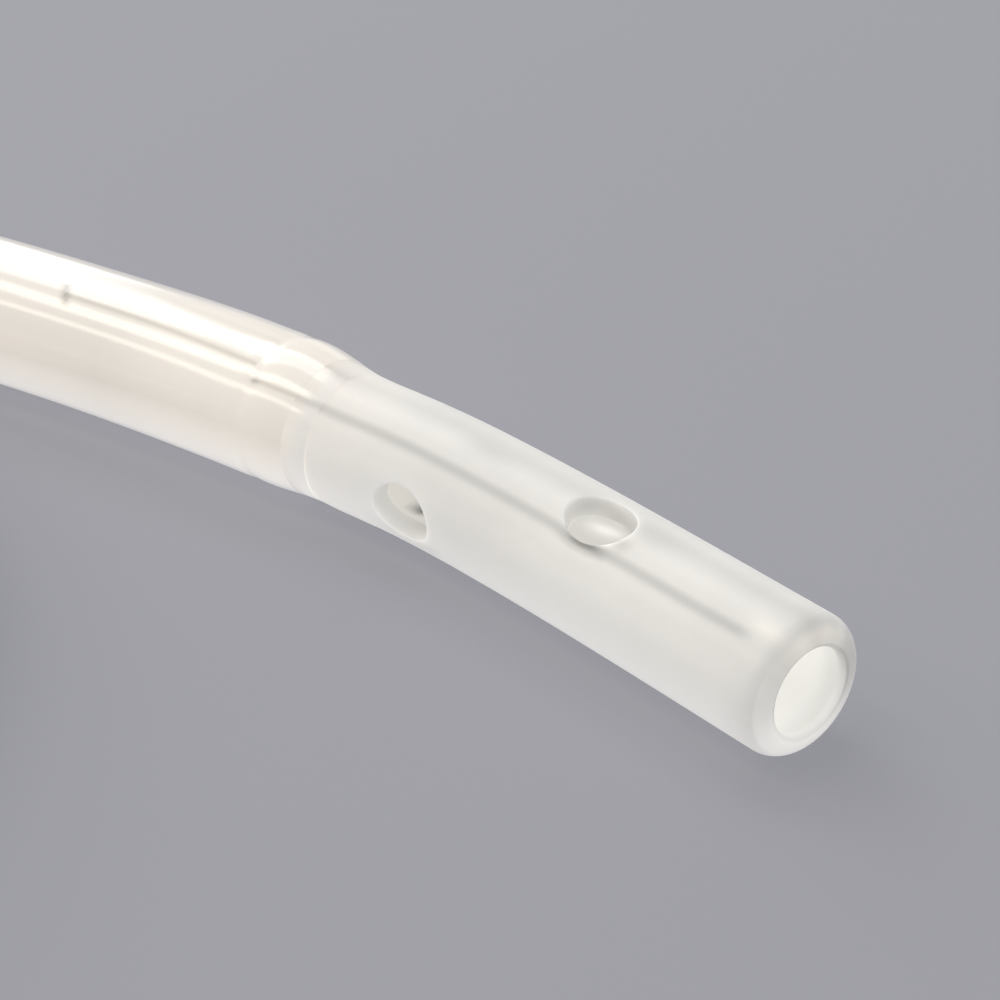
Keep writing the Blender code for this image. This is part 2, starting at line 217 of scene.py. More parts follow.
print("camera at", [round(v, 4) for v in camera.location], "lens", round(camera_data.lens, 1), "mm")

# %% [markdown]
# ## Sums on sockets
#
# A procedural finish is mostly arithmetic, and arithmetic reads best as arithmetic. This small
# class wraps one socket of a material, so that `1 - mask` or `mask * 0.5` adds the Math nodes
# for us. Any other kind of node comes from its one method, `node`.

# %% A wire that can be used in sums


class Wire:
    """One output socket of a material's node tree."""

    def __init__(self, tree, socket=None):
        self.tree = tree
        self.socket = socket

    def node(self, kind, settings=None, inputs=None, output=0):
        """Add a node, set it up, feed its inputs with values or wires, and return one output."""
        made = self.tree.nodes.new(kind)
        for name, value in (settings or {}).items():
            setattr(made, name, value)
        for name, value in (inputs or {}).items():
            if isinstance(value, Wire):
                self.tree.links.new(value.socket, made.inputs[name])
            else:
                made.inputs[name].default_value = value
        return Wire(self.tree, made.outputs[output])

    def maths(self, operation, first, second=0.0):
        return self.node("ShaderNodeMath", {"operation": operation}, {0: first, 1: second})

    def __add__(self, other):
        return self.maths("ADD", self, other)

    def __sub__(self, other):
        return self.maths("SUBTRACT", self, other)

    def __rsub__(self, other):
        return self.maths("SUBTRACT", other, self)

    def __mul__(self, other):
        return self.maths("MULTIPLY", self, other)

    __radd__ = __add__
    __rmul__ = __mul__

    def step(self, start, end):
        """Rise smoothly from 0 to 1 as this value goes from start to end."""
        settings = {"interpolation_type": "SMOOTHSTEP"}
        return self.node("ShaderNodeMapRange", settings, {"Value": self, 1: start, 2: end})

    def near(self, centre, reach):
        """1 where this value is at the centre, falling smoothly to 0 at the reach."""
        return 1 - self.maths("ABSOLUTE", self - centre).step(0.0, reach)

    def between(self, start, end, soft):
        """1 from start to end, with both sides softened."""
        return self.step(start - soft, start + soft) * (1 - self.step(end - soft, end + soft))

    def tint(self, low, high):
        """Mix two colours, the second where this value is 1."""
        settings = {"data_type": "RGBA"}
        low = low if isinstance(low, Wire) else (*low, 1)
        high = high if isinstance(high, Wire) else (*high, 1)
        return self.node("ShaderNodeMix", settings, {0: self, 6: low, 7: high}, output=2)

    def scaled(self, amount):
        """This colour times a value."""
        return self.node("ShaderNodeVectorMath", {"operation": "SCALE"}, {0: self, "Scale": amount})


def finish(name, **constants):
    """A material whose Principled shader has these constants. Returns it, a wire and the shader."""
    material = bpy.data.materials.new(name)
    material.use_nodes = True
    shader = material.node_tree.nodes["Principled BSDF"]
    for key, value in constants.items():
        shader.inputs[key.replace("_", " ").title().replace("Ior", "IOR")].default_value = value
    return material, Wire(material.node_tree), shader


def feed(shader, name, wire):
    """Let a wire drive one of the shader's sockets."""
    wire.tree.links.new(wire.socket, shader.inputs[name])


def stored(wire, name):
    """A number stored on each point of the mesh."""
    return wire.node("ShaderNodeAttribute", {"attribute_name": name}, output=2)


def noise(wire, scale, detail=2.0):
    """Cloudy variation in the object's own coordinates, from 0 to 1."""
    where = wire.node("ShaderNodeTexCoord", output=3)
    return wire.node("ShaderNodeTexNoise", None, {"Vector": where, "Scale": scale, "Detail": detail})


print("wire operations", [name for name in dir(Wire) if not name.startswith("_")])

# %% [markdown]
# ## Silicone
#
# Medical silicone is milky: light goes in, scatters a few millimetres and comes out again, so
# the thick parts glow and the edges stay bright. On the shaft, subsurface scattering does part of
# that. Every silicone here also gives off painted light of its own, as emission, more on its under
# side. The sleeve and its glue are too thin for scattering and rely on that painted light alone.
#
# Light that passes through a clear wall would take a glass shader and a long render. Painting
# what it shows is quicker, so each mesh stores a few numbers on its points for the finishes to
# read:
#
# - `station`, the distance from the tip, and `from_channel`, the turn from the fine air channel
#   in the wall, which shows through as a soft dark line
# - `depth`, from 0 on the outside to 1 in the bore, and `under`, from 0 on top to 1 below
# - `proud`, which says where the balloon and its glue lie over the shaft
# - `shade` and `glint`, painted shade and painted highlights round the eyes and the lip; on the
#   sleeve, `shade` also holds the notch's dark tick

# %% Tones of the silicone
MILK = (0.755, 0.745, 0.715)
MILK_DEEP = (0.70, 0.69, 0.665)
SLEEVE_TONE = (0.80, 0.755, 0.705)
SLEEVE_DEEP = (0.74, 0.71, 0.665)
CHANNEL_SHADE = (0.33, 0.33, 0.31)
SLEEVE_CHANNEL_SHADE = (0.38, 0.33, 0.26)
# The glows are painted light, given off as emission, and the glints are painted highlights
SELF_GLOW = (0.165, 0.163, 0.157)
SLEEVE_GLOW = (0.255, 0.232, 0.198)
MOUTH_GLOW = (0.345, 0.345, 0.335)
BORE_GLOW = (0.11, 0.11, 0.11)
TOP_EYE_GLOW = (0.235, 0.235, 0.23)
SIDE_EYE_GLOW = (0.225, 0.225, 0.22)
CRESCENT_GLOW = (0.52, 0.52, 0.50)
WARM_GLINT = (0.34, 0.32, 0.28)
print("milk is", MILK, "and the sleeve", SLEEVE_TONE)

# %% [markdown]
# The channel ends blind just behind the tip and opens at the notch under the balloon. The
# crease of the balloon's front cuff breaks its line for half a millimetre. Beside the line, the
# clear wall bends what lies behind it into long light and dark bands, which are painted here as
# light and shade. What is seen through the mouth and the eyes glows with the light that the bore
# collects, and that glow is painted too, as emission.

# %% What shows through the wall
SOLID_TIP = 0.0045
CREASE = 0.0605
SOFT_END = 0.0003
CREASE_BREAK = 0.0002
LINE_START_SHARES = (0.6, 1.1)
MOUTH_FADE = (0.005, 0.016)
TOP_EYE_VIEW = (0.0240, 0.0340, 0.0010)
SIDE_EYE_VIEW = (0.041, 0.044)


def channel_mask(wire, width):
    """1 over the air channel, fading to its sides, at the solid tip and past the notch."""
    turn = stored(wire, "from_channel")
    station = stored(wire, "station")
    past_tip = station.step(*(SOLID_TIP * share for share in LINE_START_SHARES))
    past_notch = station.step(NOTCH - SOFT_END, NOTCH + SOFT_END)
    broken = station.between(CREASE - CREASE_BREAK, CREASE + CREASE_BREAK, CREASE_BREAK)
    return turn.near(0.0, width) * past_tip * (1 - past_notch) * (1 - broken)


# Each band of painted light or shade is its turn from the channel, its reach to both sides and its
# strength
SHAFT_LIGHT_SHADE_BANDS = (
    (-0.48, 0.45, 0.055),
    (-0.19, 0.13, 0.03),
    (0.33, 0.15, 0.015),
    (0.68, 0.30, -0.09),
    (1.30, 0.20, 0.08))
GLUE_LIGHT_SHADE_BANDS = (*SHAFT_LIGHT_SHADE_BANDS, (0.62, 0.16, -0.11))
SLEEVE_LIGHT_SHADE_BANDS = (
    (0.47, 0.14, -0.10),
    (0.65, 0.15, -0.04),
    (1.05, 0.20, 0.15))


def light_shade_bands(wire, bands):
    """Painted light and shade: 1 where nothing shows, more in a light band and less in a dark one."""
    turn = stored(wire, "from_channel")
    return sum((turn.near(middle, reach) * amount for middle, reach, amount in bands), 1.0)


def lumen_glow(wire):
    """The painted glow inside the bore, given off as emission: bright at the mouth and behind the eyes,
    dim between.
    """
    station = stored(wire, "station")
    glow = station.step(*MOUTH_FADE).tint(MOUTH_GLOW, BORE_GLOW)
    glow = station.between(*TOP_EYE_VIEW).tint(glow, TOP_EYE_GLOW)
    return station.step(*SIDE_EYE_VIEW).tint(glow, SIDE_EYE_GLOW)


print("the shaft shows", len(SHAFT_LIGHT_SHADE_BANDS), "bands and the sleeve", len(SLEEVE_LIGHT_SHADE_BANDS))

# %% [markdown]
# One recipe makes all the silicones, and each finish below sets what differs: the depth of its
# fine grain, how wide and dark the channel's line is, how much painted light it gives off on its
# under side, and its coat. The sleeve is the glossy one. The glue is wet where it is thick and as
# dull as the shaft where it thins out. The warm tone of the balloon comes in softly on both
# sides of its shoulder, which also gets a little more painted light than the rest.

# %% Silicone finishes
# Far from the tip the painted glow is dimmed
FAR_END = (0.115, 0.200)
FAR_DIM = 0.6
OVER = 0.42
WARM_REACH = 0.004
WARM_SOFT = 0.008
# The shoulder's extra light is painted, as emission
SHOULDER_LIGHT = 0.45
SHOULDER_LIT = (0.066, 0.079)
SLEEVE_LESS_LIT = 0.45
LINE_DIM = 0.5
SCATTER = (1.0, 0.97, 0.92)
CLOUD_SCALE = 90.0
CLOUD_RISE = (0.35, 0.75)
GRAIN_SCALE = 1400.0
GRAIN_DEPTH = 0.00004
DULL = 0.38
SLEEVE_GLOSS = 0.10
FUNNEL_DULL = 0.33
GRAIN_DULLS = 0.10
SLEEVE_GRAIN_DULLS = 0.08
WET_SMOOTHS = 0.30
WET_FROM = 0.02
WET_FULL = 0.40
SILICONE = dict(
    subsurface_weight=1.0, subsurface_scale=0.0015, ior=1.41,
    sheen_weight=0.5, sheen_roughness=0.25, emission_strength=1.0)


def silicone(name, bump, line, passed, bands=(), channel=CHANNEL_SHADE, glow=1.0, **constants):
    """Milky silicone. Returns the material, its grain and its shader.

    The line is the channel's half width as a turn and its strength. What is passed is painted
    light, given off as emission: it starts and ends at two values of `under`, with the light that
    it adds at its fullest.
    """
    material, wire, shader = finish(name, **{**SILICONE, **constants})
    shader.inputs["Subsurface Radius"].default_value = SCATTER
    width, depth = line
    mask = channel_mask(wire, width) * depth
    # Painted shade and the bands of painted light and shade darken or lighten the base colour and the
    # glow
    shade = 1 - stored(wire, "shade")
    bands = light_shade_bands(wire, bands) * shade
    over = stored(wire, "proud").step(0.0, OVER)
    station = stored(wire, "station")
    near = station.between(BALLOON_START - WARM_REACH, BALLOON_END + WARM_REACH, WARM_SOFT)
    cloud = noise(wire, CLOUD_SCALE, 3.0).step(*CLOUD_RISE)
    body = cloud.tint(near.tint(MILK, SLEEVE_TONE), near.tint(MILK_DEEP, SLEEVE_DEEP))
    feed(shader, "Base Color", mask.tint(body, channel).scaled(bands))
    # The glow is painted light, given off as emission: more on the under side and at the shoulder, less
    # in the channel's line and far from the tip, with painted highlights where the glint is
    start, end, amount = passed
    under = stored(wire, "under").step(start, end)
    far = station.step(*FAR_END)
    shoulder_glow = near * (1 - station.step(*SHOULDER_LIT)) * (1 - over * SLEEVE_LESS_LIT) * SHOULDER_LIGHT
    skin = (1 + under * amount + shoulder_glow) * bands * (1 - mask * LINE_DIM) * (1 - far * FAR_DIM) * glow
    warm = over.tint(SELF_GLOW, under.tint(SLEEVE_GLOW, SELF_GLOW))
    glint = stored(wire, "glint")
    skin = glint.tint(warm, WARM_GLINT).scaled(skin)
    # Seen into the bore, the glow is the lumen's painted light with its painted highlight
    lumen = glint.tint(lumen_glow(wire), CRESCENT_GLOW)
    feed(shader, "Emission Color", stored(wire, "depth").tint(skin, lumen.scaled(shade)))
    grain = noise(wire, GRAIN_SCALE, 2.0)
    relief = {"Strength": bump, "Distance": GRAIN_DEPTH, "Height": grain}
    feed(shader, "Normal", wire.node("ShaderNodeBump", None, relief))
    return material, grain, shader


shaft_finish, grain, shader = silicone(
    "shaft_silicone", bump=0.25, line=(0.13, 0.40), passed=(0.12, 0.92, 1.65), bands=SHAFT_LIGHT_SHADE_BANDS)
feed(shader, "Roughness", DULL + GRAIN_DULLS * grain)

sleeve_finish, grain, shader = silicone(
    "sleeve_silicone", bump=0.03, line=(0.065, 0.40), passed=(0.32, 0.95, 2.7), bands=SLEEVE_LIGHT_SHADE_BANDS,
    channel=SLEEVE_CHANNEL_SHADE, subsurface_weight=0.0,
    coat_weight=1.0, coat_roughness=0.15, coat_ior=1.9)
feed(shader, "Roughness", SLEEVE_GLOSS + SLEEVE_GRAIN_DULLS * grain)

glue_finish, grain, shader = silicone(
    "glue_silicone", bump=0.05, line=(0.11, 0.40), passed=(0.20, 0.92, 1.9), bands=GLUE_LIGHT_SHADE_BANDS,
    subsurface_weight=0.0, coat_roughness=0.12, coat_ior=1.9)
wet = stored(grain, "proud").step(WET_FROM, WET_FULL)
feed(shader, "Roughness", DULL - WET_SMOOTHS * wet)
feed(shader, "Coat Weight", wet)

funnel_finish, grain, shader = silicone(
    "funnel_silicone", bump=0.20, line=(0.01, 0.0), passed=(0.4, 0.85, 1.8), glow=0.4)
feed(shader, "Roughness", FUNNEL_DULL + GRAIN_DULLS * grain)
print("silicone finishes", [m.name for m in (shaft_finish, sleeve_finish, glue_finish, funnel_finish)])

# %% [markdown]
# ## Skin of rings
#
# A tube is a stack of rings. We keep each ring's points as (station, radius, angle) and turn
# them into places at the very end, because a hole is easy to lay out on that unrolled sheet.

# %% A mesh that is laid out on the unrolled tube
# Where the channel's line is seen, as (station, degrees). It jumps at the crease.
CHANNEL_SEEN = (
    (0, 55), (0.010, 53.6), (0.048, 52.4), (0.0535, 52), (0.058, 48.2), (0.0604, 47.8),
    (0.0606, 60), (0.075, 61.8), (1, 62))
BORE_SEEN_FROM = 0.0004
BORE_SEEN_SOFT = 0.0008
SHARP_ANGLE = math.radians(40)


class Skin:
    """Points as (station, radius, angle) and faces between them."""

    def __init__(self):
        self.points = []
        self.faces = []

    def add(self, station, radius, angle):
        self.points.append((station, radius, angle))
        return len(self.points) - 1

    def ring(self, station, radius, angles):
        return [self.add(station, radius, a) for a in angles]

    def bridge(self, first, second, keep=None):
        """Quads between two rings of the same count."""
        count = len(first)
        for k in range(count):
            if keep is None or keep(k):
                n = (k + 1) % count
                self.faces.append((first[k], second[k], second[n], first[n]))

    def numbers(self, station, radius, angle):
        """What each point stores for the finishes to read."""
        channel = np.radians(np.interp(station, *np.array(CHANNEL_SEEN).T))
        inward = ease((SHAFT_RADIUS - radius) / (SHAFT_RADIUS - BORE_RADIUS))
        return {
            "station": station,
            "from_channel": turn_from(angle, channel),
            "depth": inward * ease((station - BORE_SEEN_FROM) / BORE_SEEN_SOFT),
            "under": 0.5 - 0.5 * np.sin(angle),
            "proud": proud(station)}

    def build(self, name, material, paint=None):
        """Place the points, store their numbers and make the object."""
        station, radius, angle = np.array(self.points).T
        mesh = bpy.data.meshes.new(name)
        mesh.from_pydata(place(station, radius, angle).tolist(), [], self.faces)
        mesh.validate()
        mesh.shade_smooth()
        mesh.set_sharp_from_angle(angle=SHARP_ANGLE)
        numbers = self.numbers(station, radius, angle)
        numbers.update(paint(station, radius, angle) if paint else {})
        for label, values in numbers.items():
            attribute = mesh.attributes.new(label, "FLOAT", "POINT")
            attribute.data.foreach_set("value", values.astype(np.float32))
        mesh.materials.append(material)
        item = bpy.data.objects.new(name, mesh)
        bpy.context.scene.collection.objects.link(item)
        print(name, len(mesh.vertices), "points,", len(mesh.polygons), "faces")
        return item


def turn_from(angle, middle):
    """The difference of two angles, from -pi to pi."""
    return (angle - middle + math.pi) % (2 * math.pi) - math.pi


print("the channel is seen at", CHANNEL_SEEN[0][1], "degrees and further back at", CHANNEL_SEEN[-1][1])

# %% [markdown]
# ## Shaft and its eyes
#
# The side eyes are ovals punched through one wall, with their edges softened. A Boolean could
# cut them, but it leaves long thin faces that catch the light. Instead we leave a rectangular
# window in the grid of each skin, outside and bore, and fill it with loops that turn from the
# window's rectangle into the eye's oval. The same loops then run over the edge and through
# the wall, so the whole rim is one smooth strip.

# %% Eyes as windows in the grid
EYES = ((0.0222, math.radians(77)), (0.0222, math.radians(-103)), (0.0415, math.radians(-4)))
EYE_HALF_LENGTH = 0.0033
EYE_HALF_WIDTH = 0.0025
EYE_EDGE = 0.0002
EYE_STEPS = (0.35, 0.62, 0.84, 1.0)
EDGE_STEPS = 4
WINDOW_HALF_LENGTH = 0.0062
WINDOW_HALF_TURN = math.radians(52)


def window_of(eye, stations, angles):
    """First and last station rows and angle columns of the window round an eye."""
    rows = np.flatnonzero(np.abs(stations - eye[0]) <= WINDOW_HALF_LENGTH)
    turn = turn_from(angles, eye[1])
    columns = sorted(np.flatnonzero(np.abs(turn) <= WINDOW_HALF_TURN), key=lambda k: turn[k])
    return rows[0], rows[-1], columns


def window_loop(rows, columns, first, last):
    """The window's edge as one loop of points, taken from the grid's rows."""
    loop = [rows[first][k] for k in columns]
    loop += [rows[i][columns[-1]] for i in range(first + 1, last)]
    loop += [rows[last][k] for k in reversed(columns)]
    loop += [rows[i][columns[0]] for i in range(last - 1, first, -1)]
    return loop


def fill_window(skin, eye, loop, directions, radius):
    """Loops from a window's edge up to the eye's oval on one skin."""
    loops = [loop]
    for share in EYE_STEPS:
        ring = []
        for point, direction in zip(loop, directions):
            station, _, angle = skin.points[point]
            oval_along = (EYE_HALF_LENGTH + EYE_EDGE) * math.cos(direction)
            oval_turn = math.asin((EYE_HALF_WIDTH + EYE_EDGE) * math.sin(direction) / radius)
            along = (station - eye[0]) * (1 - share) + oval_along * share
            turn = turn_from(angle, eye[1]) * (1 - share) + oval_turn * share
            ring.append(skin.add(eye[0] + along, radius, eye[1] + turn))
        loops.append(ring)
    return loops


def eye_edge(skin, eye, directions, radius, inward, steps):
    """Ovals over one softened edge, where inward says which way the wall lies."""
    loops = []
    for step in steps:
        turn = math.pi / 2 * step / EDGE_STEPS
        grow = EYE_EDGE * (1 - math.sin(turn))
        level = radius + inward * EYE_EDGE * (1 - math.cos(turn))
        ring = []
        for direction in directions:
            along = (EYE_HALF_LENGTH + grow) * math.cos(direction)
            across = (EYE_HALF_WIDTH + grow) * math.sin(direction)
            ring.append(skin.add(eye[0] + along, level, eye[1] + math.asin(across / level)))
        loops.append(ring)
    return loops


def cut_eye(skin, eye, outside, inside):
    """Join the two windows of an eye through the wall, over two softened edges."""
    directions = []
    for point in outside:
        station, radius, angle = skin.points[point]
        across = turn_from(angle, eye[1]) * radius / EYE_HALF_WIDTH
        directions.append(math.atan2(across, (station - eye[0]) / EYE_HALF_LENGTH))
    loops = fill_window(skin, eye, outside, directions, SHAFT_RADIUS)
    loops += eye_edge(skin, eye, directions, SHAFT_RADIUS, -1, range(1, EDGE_STEPS + 1))
    loops += eye_edge(skin, eye, directions, BORE_RADIUS, 1, range(EDGE_STEPS, 0, -1))
    loops += reversed(fill_window(skin, eye, inside, directions, BORE_RADIUS))
    for first, second in zip(loops, loops[1:]):
        skin.bridge(second, first)


print(len(EYES), "eyes, each", 2 * EYE_HALF_LENGTH, "by", 2 * EYE_HALF_WIDTH)

# %% [markdown]
# A clear wall bends the light most where it curves: at the lip and round the eyes. There the
# photograph shows small dark and bright marks, which are painted here as shade and highlights.
# Each is a soft spot on the unrolled tube, and its five numbers are the station, the degrees
# round, the reach along, the reach round in degrees and the strength.

# %% Painted shade and highlights at the eyes and the lip
# Spots of painted shade on the outside: round the top eye, between the eyes, and on the lip's low side
# and top
OUTSIDE_SHADES = (
    (0.0222, 51, 0.0016, 4.5, 0.62),
    (0.0206, 53, 0.0012, 4.0, 0.45),
    (0.0187, 66, 0.0009, 7, 0.22),
    (0.0172, 84, 0.0030, 14, 0.10),
    (0.0355, 80, 0.0025, 10, 0.10),
    (0.0010, -25, 0.0026, 55, 0.12),
    (0.0016, 98, 0.0014, 30, 0.07))
# Painted shade: a dark corner in the side eye's bore, the side eye's lower rim and its wall, the rim
# left of the mouth, the lip's right side and a darker mouth
BORE_CORNER_SHADE = (0.0450, -91, 0.0009, 12, 0.85)
SIDE_EYE_LOW_SHADE = (0.0410, -28, 0.0034, 11, 0.21)
SIDE_EYE_WALL_SHADE = 0.06
RIM_LEFT_SHADE = (0.0002, 24, 0.0005, 26, 0.26)
LIP_RIGHT_SHADE = (0.0, 185, 0.0014, 45, 0.25)
MOUTH_SHADE = 0.14
# Spots of painted highlight: near the tip, on the lip above the mouth, and on the bore's far wall seen
# through the top eye
TIP_GLINT = (0.0026, 66, 0.0016, 6, 0.8)
LIP_GLINT = (0.0002, 92, 0.0010, 42, 1.0)
BORE_GLINT = (0.0270, 176, 0.0020, 8, 1.0)
BORE_GLINT_SLANT = 3400
MARK_DEPTH = 0.0005
OUTER_SKIN = 0.00015
BORE_SKIN = 0.00005
MOUTH_SHADE_END = 0.0026
MOUTH_SHADE_SOFT = 0.0022
LIP_INNER = 0.0038
LIP_INNER_SOFT = 0.0003
LIP_OUTER = 0.0057
LIP_OUTER_SOFT = 0.0007
LIP_RADIUS = 0.0018
MOUTH_RADIUS = 0.0037


def spot(station, angle, mark, slant=0.0):
    """One soft spot. A slant turns it by so many degrees for each metre along the tube."""
    middle, degrees, reach_along, reach_round, strength = mark
    along = station - middle
    turn = turn_from(angle, np.radians(degrees + slant * along)) / math.radians(reach_round)
    return strength * np.exp(-(along / reach_along) ** 2 - turn ** 2)


def paint_shaft(station, radius, angle):
    """Painted shade and painted highlights for what the bends of the clear wall make at the eyes and
    the lip.
    """
    outside = radius > SHAFT_RADIUS - MARK_DEPTH
    inside = radius < BORE_RADIUS + MARK_DEPTH
    in_wall = (radius < SHAFT_RADIUS - OUTER_SKIN) & (radius > BORE_RADIUS + BORE_SKIN)
    shade = outside * sum(spot(station, angle, mark) for mark in OUTSIDE_SHADES)
    shade = shade + inside * spot(station, angle, BORE_CORNER_SHADE)
    shade = shade + (radius > BORE_RADIUS + MARK_DEPTH) * spot(station, angle, SIDE_EYE_LOW_SHADE)
    shade = shade + SIDE_EYE_WALL_SHADE * (in_wall & (station > (EYES[0][0] + EYES[2][0]) / 2))
    shade = shade + (radius < SHAFT_RADIUS - LIP_RADIUS) * spot(station, angle, RIM_LEFT_SHADE)
    shade = shade + (radius > MOUTH_RADIUS + EYE_EDGE) * spot(station, angle, LIP_RIGHT_SHADE)
    in_mouth = ease((MOUTH_SHADE_END - station) / MOUTH_SHADE_SOFT)
    shade = shade + MOUTH_SHADE * in_mouth * (radius < BORE_RADIUS + BORE_SKIN)
    on_lip = ease((radius - LIP_INNER) / LIP_INNER_SOFT) * ease((LIP_OUTER - radius) / LIP_OUTER_SOFT)
    glint = outside * spot(station, angle, TIP_GLINT) + on_lip * spot(station, angle, LIP_GLINT)
    glint = glint + inside * spot(station, angle, BORE_GLINT, BORE_GLINT_SLANT)
    return {"shade": np.clip(shade, 0, 1), "glint": glint}


strongest = max(mark[-1] for mark in OUTSIDE_SHADES)
print(len(OUTSIDE_SHADES), "shades on the outside, the strongest", strongest)

# %% [markdown]
# The shaft itself is two skins, outside and bore, joined at the far end by a flat ring and at
# the tip by a lip like a bull's nose, whose inner edge is softened too. Its rings lie close
# together along the stretch that the photograph shows and further apart along the coil.

# %% Shaft
SHAFT_SIDES = 96
FINE_END = 0.126
FINE_SPACING = 0.0010
COARSE_SPACING = 0.0026
LIP_STEPS = 10
THROAT_START = LIP_RADIUS * 0.6


def shaft_stations(start):
    """Where the rings lie, from the lip to the far end."""
    fine = np.arange(start, FINE_END, FINE_SPACING)
    coarse_rings = round((SHAFT_LENGTH - FINE_END) / COARSE_SPACING)
    return np.concatenate([fine, np.linspace(FINE_END, SHAFT_LENGTH, coarse_rings)])


def lip_rings(skin, angles):
    """Rings from the outside round the bull nose to the mouth, a little narrower than the bore."""
    soft = SHAFT_RADIUS - LIP_RADIUS - MOUTH_RADIUS
    rings = []
    for i in range(1, LIP_STEPS + 1):
        turn = math.pi / 2 * i / LIP_STEPS
        radius = SHAFT_RADIUS - LIP_RADIUS * (1 - math.cos(turn))
        rings.append(skin.ring(LIP_RADIUS * (1 - math.sin(turn)), radius, angles))
    for i in range(1, EDGE_STEPS + 1):
        turn = math.pi / 2 * i / EDGE_STEPS
        radius = MOUTH_RADIUS + soft * (1 - math.sin(turn))
        rings.append(skin.ring(soft * (1 - math.cos(turn)), radius, angles))
    return rings + [skin.ring(THROAT_START, (MOUTH_RADIUS + BORE_RADIUS) / 2, angles)]


def make_shaft():
    """Both skins of the shaft with their eyes, the lip and the far end's ring."""
    skin = Skin()
    angles = EYES[0][1] + np.arange(SHAFT_SIDES) * 2 * math.pi / SHAFT_SIDES
    stations = shaft_stations(LIP_RADIUS)
    outer = [skin.ring(s, SHAFT_RADIUS, angles) for s in stations]
    inner = [skin.ring(s, BORE_RADIUS, angles) for s in stations]
    open_cells = set()
    for eye in EYES:
        first, last, columns = window_of(eye, stations, angles)
        open_cells |= {(i, k) for i in range(first, last) for k in columns[:-1]}
        outside = window_loop(outer, columns, first, last)
        cut_eye(skin, eye, outside, window_loop(inner, columns, first, last))
    for i in range(len(stations) - 1):
        skin.bridge(outer[i + 1], outer[i], keep=lambda k: (i, k) not in open_cells)
        skin.bridge(inner[i], inner[i + 1], keep=lambda k: (i, k) not in open_cells)
    lip = [outer[0]] + lip_rings(skin, angles) + [inner[0]]
    for first, second in zip(lip, lip[1:]):
        skin.bridge(first, second)
    skin.bridge(inner[-1], outer[-1])
    return skin.build("shaft_silicone", shaft_finish, paint_shaft)


shaft = make_shaft()

# %% [markdown]
# ## Balloon sleeve
#
# The balloon is a thin tube drawn over the shaft and glued down at both ends. Empty, it lies
# flat on the shaft but not quite tight, so faint lengthwise pleats run along it and stretch the
# reflections, and behind the front cuff it bulges by a tenth of a millimetre. Each cuff ends in
# a small crease. The notch that lets the air out of the channel shows through as a dark tick.

# %% Balloon
CUFF = 0.0050
CREASE_DEPTH = 0.00007
CREASE_HALF = 0.0010
BULGE = 0.00012
BULGE_MIDDLE = 0.068
BULGE_HALF = 0.018
PLEAT_DEPTH = 0.00002
PLEAT_FADE = 0.006
PLEATS = 7
PLEAT_WANDER = 1.3
PLEAT_WANDER_RATE = 90
FINE_PLEATS = 13
FINE_PLEAT_SHARE = 0.6
FINE_PLEAT_TWIST = 60
TICK_ANGLE = math.radians(62)
TICK_HALF_TURN = math.radians(11)
TICK_SLANT = 0.00075
TICK_REACH = 0.00045
TICK_SOFT = 0.3
TICK_SHADE = 0.42
# A dot of painted shade where the channel's line starts, at the crease's step
LINE_START = (CREASE - 0.0006, 48.2, 0.0005, 3.5, 0.45)
SLEEVE_SIDES = 144
SLEEVE_SPACING = 0.0004
FILM = 0.00002
INNER_STRIDE = 4


def pleats(station, angle):
    """Faint lengthwise waves that die out at the cuffs."""
    inside = ease((from_balloon_end(station) - CUFF) / PLEAT_FADE)
    wander = PLEAT_WANDER * math.sin(PLEAT_WANDER_RATE * station)
    fine = FINE_PLEAT_SHARE * math.sin(FINE_PLEATS * angle + FINE_PLEAT_TWIST * station)
    return PLEAT_DEPTH * inside * (math.sin(PLEATS * angle + wander) + fine)


def sleeve_radius(station, angle):
    """The outside of the sleeve: its wall, pinched at the creases, with its bulge and its pleats."""
    pinch = 1 - ease(abs(from_balloon_end(station) - CUFF) / CREASE_HALF)
    wall = (BALLOON_RADIUS - SHAFT_RADIUS) * proud(station)
    not_below = 1 - max(0, -math.sin(angle)) ** 3
    bulge = BULGE * (1 - ease(abs(station - BULGE_MIDDLE) / BULGE_HALF)) * not_below
    return SHAFT_RADIUS + wall + bulge - CREASE_DEPTH * pinch + pleats(station, angle) - PLEAT_DEPTH


def paint_sleeve(station, radius, angle):
    """The notch shows as a small slanting tick, and a dot of painted shade marks where the channel's
    line starts.
    """
    turn = turn_from(angle, TICK_ANGLE) / TICK_HALF_TURN
    along = (station - NOTCH - TICK_SLANT * turn) / TICK_REACH
    tick = ease((1 - np.abs(turn)) / TICK_SOFT) * np.exp(-along ** 2)
    return {"shade": TICK_SHADE * tick + spot(station, angle, LINE_START)}


def make_balloon():
    """The sleeve's outer skin and its inner one, just off the shaft."""
    skin = Skin()
    angles = np.arange(SLEEVE_SIDES) * 2 * math.pi / SLEEVE_SIDES
    stations = np.arange(BALLOON_START, BALLOON_END + SLEEVE_SPACING / 2, SLEEVE_SPACING)
    rings = [[skin.add(s, sleeve_radius(s, a), a) for a in angles] for s in stations]
    rings += [skin.ring(s, SHAFT_RADIUS + FILM, angles) for s in stations[::-INNER_STRIDE]]
    for first, second in zip(rings, rings[1:] + rings[:1]):
        skin.bridge(second, first)
    return skin.build("balloon_sleeve", sleeve_finish, paint_sleeve)


balloon = make_balloon()

# %% [markdown]
# ## Glue fillets
#
# A fillet of silicone glue runs from each end of the sleeve down to the shaft, an S in section.
# It follows the same `proud` curve as the sleeve, so the shoulder is one smooth form, and its
# skin closes under itself just inside the shaft's surface.

# %% Glue fillets
GLUE_STEPS = 24


